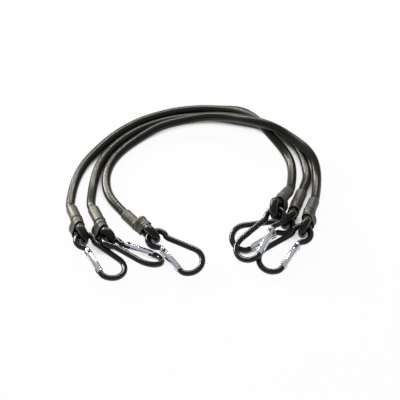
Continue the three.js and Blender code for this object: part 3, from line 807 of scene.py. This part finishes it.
def hook_frame():
    tip = on_circle((0, 0), half_tongue, np.linspace(-math.pi / 2, math.pi / 2, 25)).tolist()
    hinge_root = rear_face - HINGE_OVERLAP
    hinge = plate("hinge_tongue", [(hinge_root, -half_tongue), *tip, (hinge_root, half_tongue)],
                  TONGUE_THICKNESS)
    nose_tip, nose_root = nose_face - NOSE_TONGUE, nose_face + NOSE_OVERLAP
    reach = PIN_RADIUS + FIT_GAP
    seat = on_circle((pin_place, reach - PIN_RADIUS), reach, np.linspace(math.pi, 0, 13)).tolist()
    notched = [(nose_tip, -half_tongue), (pin_place - reach, -half_tongue), *seat,
               (pin_place + reach, -half_tongue), (nose_root, -half_tongue), (nose_root, half_tongue),
               (nose_tip, half_tongue)]
    nose = plate("nose_tongue", notched, TONGUE_THICKNESS)
    hole_radius = RIVET_RADIUS + HOLE_CLEARANCE
    hole = turned("rivet_hole", [(-WIRE_RADIUS, hole_radius), (WIRE_RADIUS, hole_radius)], HOLE_SIDES, "Z")
    cut = combine(bent_wire(), [("UNION", onto_gate_line(hinge)), ("UNION", onto_gate_line(nose)),
                                ("DIFFERENCE", onto_gate_line(hole))])
    return eased(cut, "hook_frame")


frame_mesh = hook_frame()
frames = {}
for label in ENDS:
    frames[label] = show(f"hook_frame_{label}", frame_mesh, f"hook_{label}", [f"frame_{label}"],
                         lay[label]["place"])
print(f"latch pin {pin_place:.2f} mm from the rivet")
print("frame has", len(frame_mesh.vertices), "points and", open_edges(frame_mesh), "open edges")

# %% [markdown]
# ## The gate
# The gate is a polished rod that closes the hook. Its hinge end is rounded about the rivet so that it can
# turn, both ends are slotted for the frame's tongues, and a bore holds the spring. Cutting a rod gives all
# of that in the order in which it would be machined.

# %% Slotted rod
ROD_SIDES = 64
ROD_EDGE = 0.2
TIP_EASES = [(0.5, 0), (0.15, 0.14), (0, 0.45)]
TURN_GAP = 0.6
SLOT_WIDTH = 3.1
RIVET_CLEARANCE = 0.1
PIN_CLEARANCE = 0.06
PLUNGER_LENGTH = 3
PLUNGER_RADIUS = 1.85
SPRING_LENGTH = 8
BORE_RADIUS = PLUNGER_RADIUS + 0.2
gate_tip = nose_face - TURN_GAP
hinge_slot_end = half_tongue + TURN_GAP
plunger_start = half_tongue + FIT_GAP
spring_start = plunger_start + PLUNGER_LENGTH + FIT_GAP
bore_end = spring_start + SPRING_LENGTH + FIT_GAP


def gate_rod():
    far = 2 * GATE_RADIUS
    tip = [(gate_tip - back, GATE_RADIUS - less) for back, less in TIP_EASES]
    rod = turned("gate_rod", [(-far, GATE_RADIUS), *tip], ROD_SIDES, "X")
    back = on_circle((0, 0), PIVOT_SETBACK, np.linspace(math.pi / 2, 1.5 * math.pi, 41)).tolist()
    plan = plate("gate_plan", [(far * 4, far), *[tuple(p) for p in back], (far * 4, -far)], 4 * far)
    slots = []
    for name, start, end in (("hinge_slot", -2 * far, hinge_slot_end),
                             ("nose_slot", nose_face - NOSE_TONGUE - TURN_GAP, gate_tip + far)):
        slots.append(plate(name, [(start, -far), (end, -far), (end, far), (start, far)], SLOT_WIDTH))
    bore = turned("bore", [(0, BORE_RADIUS), (bore_end, BORE_RADIUS)], HOLE_SIDES, "X")
    holes = [turned(name, [(-far, radius), (far, radius)], HOLE_SIDES, "Z") for name, radius in
             (("rivet_hole", RIVET_RADIUS + RIVET_CLEARANCE), ("pin_hole", PIN_RADIUS + PIN_CLEARANCE))]
    holes[1].data.transform(Matrix.Translation((pin_place, 0, 0)))
    cut = combine(rod, [("INTERSECT", plan), *[("DIFFERENCE", tool) for tool in (*slots, bore, *holes)]])
    return eased(cut, "gate_rod", width=ROD_EDGE)


gate_mesh = gate_rod()
gate_place = Matrix.Translation((*(pivot * MM), 0)) @ Matrix.Rotation(gate_angle, 4, "Z")
gates = {}
for label in ENDS:
    gates[label] = show(f"gate_rod_{label}", gate_mesh, f"gate_{label}", [f"gate_{label}"],
                        lay[label]["place"] @ gate_place)
print("gate has", len(gate_mesh.vertices), "points and", open_edges(gate_mesh), "open edges")

# %% [markdown]
# ## Rivet, pin, plunger and spring
# Three of the small parts come from a lathe: a rivet with a domed head on both cheeks, a chamfered latch pin
# and a round-nosed plunger. Cylinders with bevels could stand in for them, but a profile that is spun round
# an axis gives every step and dome as it would be turned.

# %% Turned small parts
RIVET_SEAT = 3.95
RIVET_HEAD = 1.7
RIVET_TOP = 4.55
RIVET_RIM = RIVET_SEAT + 0.14
DOME_ARC = (0.12, 1.45)
PIN_RECESS = 0.35
PIN_CHAMFER = 0.2
PLUNGER_NOSE_ARC = (0.15, 1.571)
PLUNGER_TAIL = [(0.9, 0), (0.8, 0.7), (0, 0.8)]
SMALL_SIDES = 32
SMALL_SHARP_ANGLE = math.radians(35)


def rivet():
    dome = [(RIVET_SEAT, RIVET_HEAD), (RIVET_RIM, RIVET_HEAD)]
    for turn in np.linspace(*DOME_ARC, 7):
        dome.append((RIVET_RIM + (RIVET_TOP - RIVET_RIM) * math.sin(turn), RIVET_HEAD * math.cos(turn)))
    half = [(RIVET_SEAT, RIVET_RADIUS), *dome]
    return [(-place, radius) for place, radius in half[::-1]] + half


def latch_pin():
    top, slim = GATE_RADIUS - PIN_RECESS, PIN_RADIUS - PIN_CHAMFER
    return [(-top, slim), (PIN_CHAMFER - top, PIN_RADIUS), (top - PIN_CHAMFER, PIN_RADIUS), (top, slim)]


def plunger():
    nose = [(plunger_start + PLUNGER_RADIUS * 0.5 * (1 - math.cos(turn)), PLUNGER_RADIUS * math.sin(turn))
            for turn in np.linspace(*PLUNGER_NOSE_ARC, 8)]
    end = plunger_start + PLUNGER_LENGTH
    return nose + [(end - back, PLUNGER_RADIUS - less) for back, less in PLUNGER_TAIL]


def turned_mesh(name, profile, axis):
    return in_metres(settled(turned(name, profile, SMALL_SIDES, axis), name), SMALL_SHARP_ANGLE)


rivet_mesh = turned_mesh("rivet", rivet(), "Z")
pin_mesh = turned_mesh("latch_pin", latch_pin(), "Z")
pin_mesh.transform(Matrix.Translation((pin_place * MM, 0, 0)))
plunger_mesh = turned_mesh("plunger", plunger(), "X")
print("rivet head", 2 * RIVET_HEAD, "mm across")

# %% [markdown]
# The spring is a thin wire wound to a coil. A Screw modifier would wind it evenly, but the first and the last
# turn of such a spring lie close together. So its line is worked out turn by turn, with a climb that starts
# late and ends early. All small parts are then placed six times.

# %% Coil spring
COIL_WIRE = 0.32
COIL_TURNS = 9
CLOSED_TURNS = 0.8
COIL_SLACK = 0.2
COIL_STEPS = 22
COIL_SIDES = 10


def coil_spring():
    turn = np.linspace(0, 2 * math.pi * COIL_TURNS, COIL_TURNS * COIL_STEPS + 1)
    winding = np.clip((turn / (2 * math.pi) - CLOSED_TURNS) / (COIL_TURNS - 2 * CLOSED_TURNS), 0, 1)
    climb = winding * (SPRING_LENGTH - 4 * COIL_WIRE - COIL_SLACK)
    place = spring_start + COIL_WIRE + climb + turn / turn[-1] * 2 * COIL_WIRE
    radius = PLUNGER_RADIUS - COIL_WIRE
    line = np.stack([place, radius * np.cos(turn), radius * np.sin(turn)], axis=1)
    _, side, up = carried_frames(line)
    angle = np.linspace(0, 2 * math.pi, COIL_SIDES, endpoint=False)[None, :, None]
    skin = line[:, None] + COIL_WIRE * (np.cos(angle) * side[:, None] + np.sin(angle) * up[:, None])
    faces = tube_faces(len(line), COIL_SIDES) + end_caps(len(line), COIL_SIDES)
    return mesh_of("coil_spring", skin.reshape(-1, 3), faces)


small_meshes = {"rivet": rivet_mesh, "latch_pin": pin_mesh, "plunger": plunger_mesh, "spring": coil_spring()}
small_parts = {kind: [] for kind in small_meshes}
for label in ENDS:
    place = lay[label]["place"] @ gate_place
    for kind, mesh in small_meshes.items():
        body = f"hook_{label}" if kind == "rivet" else f"gate_{label}"
        small_parts[kind].append(show(f"fine_{kind}_{label}", mesh, body, [f"{kind}_{label}"], place))
print("small parts:", {kind: len(made) for kind, made in small_parts.items()})

# %% [markdown]
# ## Finishes
# Each finish is a small node tree on Blender's Principled shader. Values that are the same all over go
# straight into the shader's own sockets. Three helpers start a finish, add a node with its links and values,
# and put the finish on pieces.

# %% Node helpers
def new_finish(name, **sockets):
    finish = bpy.data.materials.new(name)
    finish.use_nodes = True
    shader = finish.node_tree.nodes["Principled BSDF"]
    for socket, value in sockets.items():
        shader.inputs[socket.replace("_", " ")].default_value = value
    return finish, finish.node_tree, shader


def add(tree, kind, links=None, values=None, **settings):
    node = tree.nodes.new(kind)
    for name, value in settings.items():
        setattr(node, name, value)
    for socket, value in (values or {}).items():
        node.inputs[socket].default_value = value
    for socket, source in (links or {}).items():
        tree.links.new(source, node.inputs[socket])
    return node


def give(pieces, finish):
    """Puts one finish on each of the pieces, in place of what they had."""
    for piece in pieces:
        piece.data.materials.clear()
        piece.data.materials.append(finish)
    print("finish:", finish.name, "on", len(pieces), "pieces")


print("finish helpers ready")

# %% [markdown]
# What changes over a surface, such as the shade in the weave or fine scratches on metal, comes from noise and
# from the numbers stored on the mesh. A ramp turns such a number into a colour, and a bump turns it into
# relief that is too fine for the mesh.

# %% Patterns
def ramp(tree, source, *stops):
    """A colour ramp from (place, colour) stops; returns its colour output."""
    node = add(tree, "ShaderNodeValToRGB", {"Fac": source})
    elements = node.color_ramp.elements
    while len(elements) < len(stops):
        elements.new(0.5)
    for element, (place, colour) in zip(elements, stops):
        element.position = place
        element.color = (*colour, 1) if len(colour) == 3 else colour
    return node.outputs["Color"]


def spread(tree, source, low, high):
    """Maps a value from 0 to 1 onto low to high."""
    node = add(tree, "ShaderNodeMapRange", {"Value": source}, {"To Min": low, "To Max": high})
    return node.outputs["Result"]


def maths(tree, operation, first, second):
    return add(tree, "ShaderNodeMath", {0: first, 1: second}, operation=operation).outputs[0]


def grain(tree, scale, detail=4, roughness=0.55, stretch=None, own=False):
    """Noise in the part's space, or in the space where a hook piece was made; scale counts per metre."""
    place = (add(tree, "ShaderNodeAttribute", attribute_name="own_place").outputs["Vector"] if own
             else add(tree, "ShaderNodeTexCoord").outputs["Object"])
    if stretch:
        place = add(tree, "ShaderNodeMapping", {"Vector": place}, {"Scale": stretch}).outputs["Vector"]
    return add(tree, "ShaderNodeTexNoise", {"Vector": place},
               {"Scale": scale, "Detail": detail, "Roughness": roughness}).outputs["Fac"]


def bump(tree, shader, height, distance, strength):
    node = add(tree, "ShaderNodeBump", {"Height": height}, {"Strength": strength, "Distance": distance})
    tree.links.new(node.outputs["Normal"], shader.inputs["Normal"])


def mixed(tree, factor, first, second, blend="MIX"):
    node = add(tree, "ShaderNodeMix", data_type="RGBA", blend_type=blend)
    for socket, value in (("Factor", factor), (6, first), (7, second)):
        if isinstance(value, bpy.types.NodeSocket):
            tree.links.new(value, node.inputs[socket])
        else:
            node.inputs[socket].default_value = value
    return node.outputs[2]


print("pattern helpers ready")

# %% [markdown]
# The braided sheath is black with an olive cast. Strands are smooth yarn, so they have a soft gloss. The gaps
# between them and the sides of each strand are painted darker as shade, following the weave height stored on
# the mesh. Five yarns show in each strand as fine lines, drawn from the strand numbers stored on the mesh.

# %% Braided yarn
YARNS = 5
WAVE_TURNS = 20
YARN_GLOSS = (1.0, 0.97, 0.84, 1)
# painted shade: the gap and strand-side colours are darker than the strand top to stand in for shade in the
# weave
GAP_PAINTED_SHADE = (0.0006, 0.0006, 0.0004)
STRAND_SIDE_PAINTED_SHADE = (0.004, 0.0037, 0.0025)
STRAND_TOP = (0.012, 0.0112, 0.0075)


def braided_yarn():
    finish, tree, shader = new_finish("braided_yarn", Specular_IOR_Level=0.34, Specular_Tint=YARN_GLOSS)
    crown = add(tree, "ShaderNodeAttribute", attribute_name="crown").outputs["Fac"]
    top = add(tree, "ShaderNodeAttribute", attribute_name="on_top").outputs["Fac"]
    places = add(tree, "ShaderNodeAttribute", attribute_name="weave").outputs["Vector"]
    split = add(tree, "ShaderNodeSeparateXYZ", {"Vector": places})
    across = add(tree, "ShaderNodeMix", {"Factor": top, "A": split.outputs["Y"], "B": split.outputs["X"]})
    line = add(tree, "ShaderNodeCombineXYZ", {"X": across.outputs[0]}).outputs["Vector"]
    yarn = add(tree, "ShaderNodeTexWave", {"Vector": line}, {"Scale": YARNS * 2 * math.pi / WAVE_TURNS,
                                                             "Distortion": 0.0}).outputs["Fac"]
    # painted shade: low weave height (gaps, strand sides) gets the darker colours, crowns the yarn's own
    # colour
    colour = ramp(tree, crown, (0.3, GAP_PAINTED_SHADE), (0.6, STRAND_SIDE_PAINTED_SHADE), (0.95, STRAND_TOP))
    fade = ramp(tree, grain(tree, 60), (0.35, (0.8, 0.8, 0.8)), (0.7, (1.25, 1.22, 1.15)))
    tree.links.new(mixed(tree, 1.0, colour, fade, "MULTIPLY"), shader.inputs["Base Color"])
    tree.links.new(spread(tree, crown, 0.4, 0.24), shader.inputs["Roughness"])
    bump(tree, shader, yarn, 0.00004, 0.25)
    return finish


give([piece for piece, _, _ in cords.values()], braided_yarn())

# %% [markdown]
# The sleeve is an olive-grey film. It is semi-matt and slightly mottled. Its colour is painted darker in the
# grooves of its wrinkles and in the groove at the step, as shade, and lighter on the crests. That shading
# could be painted by hand, but Pointiness tells crests from grooves on a mesh this fine.

# %% Shrunk film
FILM_GLOSS = (1.0, 0.96, 0.84, 1)
FILM_DARK = (0.028, 0.0265, 0.0198)
FILM_PALE = (0.046, 0.0435, 0.0333)


def shrunk_film():
    finish, tree, shader = new_finish("shrunk_film", Specular_IOR_Level=0.52, Specular_Tint=FILM_GLOSS)
    mottle = ramp(tree, grain(tree, 220, 6), (0.3, FILM_DARK), (0.7, FILM_PALE))
    crest = add(tree, "ShaderNodeNewGeometry").outputs["Pointiness"]
    # painted shade: Pointiness darkens the grooves of the film, and the crests come out lighter
    groove_shade_and_crest_tone = ramp(tree, crest, (0.44, (0.35, 0.35, 0.35)), (0.5, (1, 1, 1)), (0.56, (1.5, 1.5, 1.45)))
    tree.links.new(mixed(tree, 1.0, mottle, groove_shade_and_crest_tone, "MULTIPLY"), shader.inputs["Base Color"])
    scuff = grain(tree, 900, 5, 0.6, (1, 1, 3))
    tree.links.new(spread(tree, scuff, 0.34, 0.5), shader.inputs["Roughness"])
    bump(tree, shader, scuff, 0.00006, 0.3)
    return finish


give(sleeves.values(), shrunk_film())

# %% [markdown]
# The hook frames are coated in glossy black enamel. The coat flows a little, so its gloss is not perfectly
# even, and it is rubbed through to grey metal on the sharp edges of the tongues. Two materials could be
# layered for that. One that turns from black paint to bare metal at the edges is simpler.

# %% Black enamel
COAT_DARK = (0.0025, 0.0025, 0.0025)
COAT_PALE = (0.0055, 0.0054, 0.0052)
BARE_STEEL = (0.22, 0.22, 0.225, 1)


def black_enamel():
    finish, tree, shader = new_finish("black_enamel", Specular_IOR_Level=0.5)
    edge = add(tree, "ShaderNodeNewGeometry").outputs["Pointiness"]
    speckle = spread(tree, grain(tree, 700, 6, 0.7), -0.06, 0.06)
    worn = maths(tree, "ADD", edge, speckle)
    bare = ramp(tree, worn, (0.60, (0, 0, 0)), (0.66, (1, 1, 1)))
    coat = ramp(tree, grain(tree, 90), (0.3, COAT_DARK), (0.7, COAT_PALE))
    tree.links.new(mixed(tree, bare, coat, BARE_STEEL), shader.inputs["Base Color"])
    tree.links.new(bare, shader.inputs["Metallic"])
    tree.links.new(spread(tree, grain(tree, 350, 5), 0.13, 0.21), shader.inputs["Roughness"])
    bump(tree, shader, grain(tree, 120, 2), 0.00006, 0.1)
    return finish


give(frames.values(), black_enamel())

# %% [markdown]
# The gate is polished nickel: bright, with hair-fine scratches that run along the rod where it rubs. A
# picture of scratches could be wrapped round it. Stretched noise needs no picture and stays sharp from close
# by.

# %% Polished nickel
def bright_metal(name, colour, shine, scratch_scale, stretch, own=True):
    finish, tree, shader = new_finish(name, Metallic=1.0)
    cloud = grain(tree, 130, 4, own=own)
    dull = tuple(0.8 * c for c in colour)
    tree.links.new(ramp(tree, cloud, (0.3, dull), (0.65, colour)), shader.inputs["Base Color"])
    scratch = grain(tree, scratch_scale, 3, 0.5, stretch, own)
    tree.links.new(spread(tree, scratch, *shine), shader.inputs["Roughness"])
    bump(tree, shader, scratch, 0.00003, 0.4)
    return finish


give(gates.values(), bright_metal("polished_nickel", (0.92, 0.92, 0.92), (0.08, 0.22), 2500, (0.06, 1, 1)))

# %% [markdown]
# The small parts and the hidden clamp bands are plain metal in different shades: a dark rivet, a steel pin
# and spring, a brass plunger and a zinc-plated band. One recipe with other numbers serves them all. The
# clamp's CAD solid has the right shape, so it stays and only takes the finish.

# %% Small metal parts
small_finishes = {
    "rivet": bright_metal("dark_rivet", (0.075, 0.076, 0.08), (0.25, 0.42), 1800, (1, 1, 1)),
    "latch_pin": bright_metal("pin_steel", (0.45, 0.46, 0.48), (0.2, 0.38), 2000, (1, 1, 0.1)),
    "spring": bright_metal("spring_steel", (0.34, 0.35, 0.37), (0.22, 0.4), 2600, (1, 1, 1)),
    "plunger": bright_metal("plunger_brass", (0.55, 0.43, 0.2), (0.22, 0.4), 2000, (0.1, 1, 1)),
}
for kind, made in small_parts.items():
    give(made, small_finishes[kind])
clamps = [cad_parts[f"clamp_{label}"] for label in ENDS]
give(clamps, bright_metal("clamp_zinc", (0.42, 0.43, 0.44), (0.3, 0.5), 1500, (1, 1, 1), own=False))

# %% [markdown]
# ## White table and soft light
# The photograph has a white ground, and shadow shows only where the hooks and cords shut the light out. More
# light would bleach the cords too, so the floor glows to camera and mirror rays instead. Where something
# stands close above it, the glow gives way to the matt paper with its real shadow.

# %% Floor
FLOOR_SIZE = 10
FLOOR_GLOW = 0.96
PAPER_WHITE = (0.6, 0.6, 0.58, 1)
SHADE_REACH = 0.022
SHADE_SHUT = 0.12
SHADE_OPEN = 0.38


def white_floor():
    mesh = bpy.data.meshes.new("floor")
    half = FLOOR_SIZE / 2
    corners = [(-half, -half, 0), (half, -half, 0), (half, half, 0), (-half, half, 0)]
    mesh.from_pydata(corners, [], [(0, 1, 2, 3)])
    floor = bpy.data.objects.new("floor", mesh)
    bpy.context.scene.collection.objects.link(floor)
    paper = bpy.data.materials.new("white_paper")
    paper.use_nodes = True
    tree = paper.node_tree
    tree.nodes.remove(tree.nodes["Principled BSDF"])
    matt = add(tree, "ShaderNodeBsdfDiffuse", values={"Color": PAPER_WHITE})
    glow = add(tree, "ShaderNodeEmission", values={"Color": (1, 1, 1, 1), "Strength": 1.0})
    ray = add(tree, "ShaderNodeLightPath").outputs
    seen = maths(tree, "MAXIMUM", ray["Is Camera Ray"], ray["Is Glossy Ray"])
    seen = maths(tree, "MAXIMUM", seen, ray["Is Transmission Ray"])
    sky = add(tree, "ShaderNodeAmbientOcclusion", values={"Distance": SHADE_REACH}, samples=16)
    free = add(tree, "ShaderNodeMapRange", {"Value": sky.outputs["AO"]},
               {"From Min": SHADE_SHUT, "From Max": SHADE_OPEN, "To Max": FLOOR_GLOW})
    share = maths(tree, "MULTIPLY", seen, free.outputs["Result"])
    both = add(tree, "ShaderNodeMixShader", {0: share, 1: matt.outputs[0], 2: glow.outputs[0]})
    tree.links.new(both.outputs[0], tree.nodes["Material Output"].inputs["Surface"])
    mesh.materials.append(paper)


white_floor()
print("floor", FLOOR_SIZE, "m wide")

# %% [markdown]
# The bright lines on cords and wires lie on their far and left edges, so a strip lamp stands low behind the
# arch on the left, and a longer one stands higher behind it. Strips give narrow lines, where a broad lamp
# would wash the cords out.

# %% Lamps
LAMP_AIM = Vector((0, 0.05, 0))


def soft_lamp(name, place, width, height, power, colour):
    lamp = bpy.data.lights.new(name, "AREA")
    lamp.shape, lamp.size, lamp.size_y = "RECTANGLE", width, height
    lamp.energy, lamp.color = power, colour
    holder = bpy.data.objects.new(name, lamp)
    holder.location = place
    holder.rotation_euler = (LAMP_AIM - Vector(place)).to_track_quat("-Z", "Y").to_euler()
    bpy.context.scene.collection.objects.link(holder)


soft_lamp("left_strip", place=(-1.55, 1.2, 0.72), width=1.2, height=0.24, power=65, colour=(1.0, 0.96, 0.9))
soft_lamp("back_strip", place=(-0.35, 1.75, 1.45), width=2.4, height=0.2, power=58, colour=(1.0, 0.97, 0.93))

# %% [markdown]
# The polished gates mirror what is round them, so the world is not one even grey. It is light at the horizon,
# darker above it and bluish overhead, like a room with a bright table and a pale ceiling.

# %% World
def studio_world():
    world = bpy.data.worlds.new("studio")
    bpy.context.scene.world = world
    world.use_nodes = True
    tree = world.node_tree
    way = add(tree, "ShaderNodeTexCoord").outputs["Generated"]
    height = add(tree, "ShaderNodeSeparateXYZ", {"Vector": way}).outputs["Z"]
    sky = ramp(tree, height, (0.0, (0.6, 0.6, 0.6)), (0.15, (0.3, 0.3, 0.31)),
               (0.35, (0.2, 0.21, 0.24)), (0.65, (0.42, 0.45, 0.52)))
    tree.links.new(sky, tree.nodes["Background"].inputs["Color"])


studio_world()
bpy.context.scene.view_settings.view_transform = "Standard"
print("world:", bpy.context.scene.world.name)
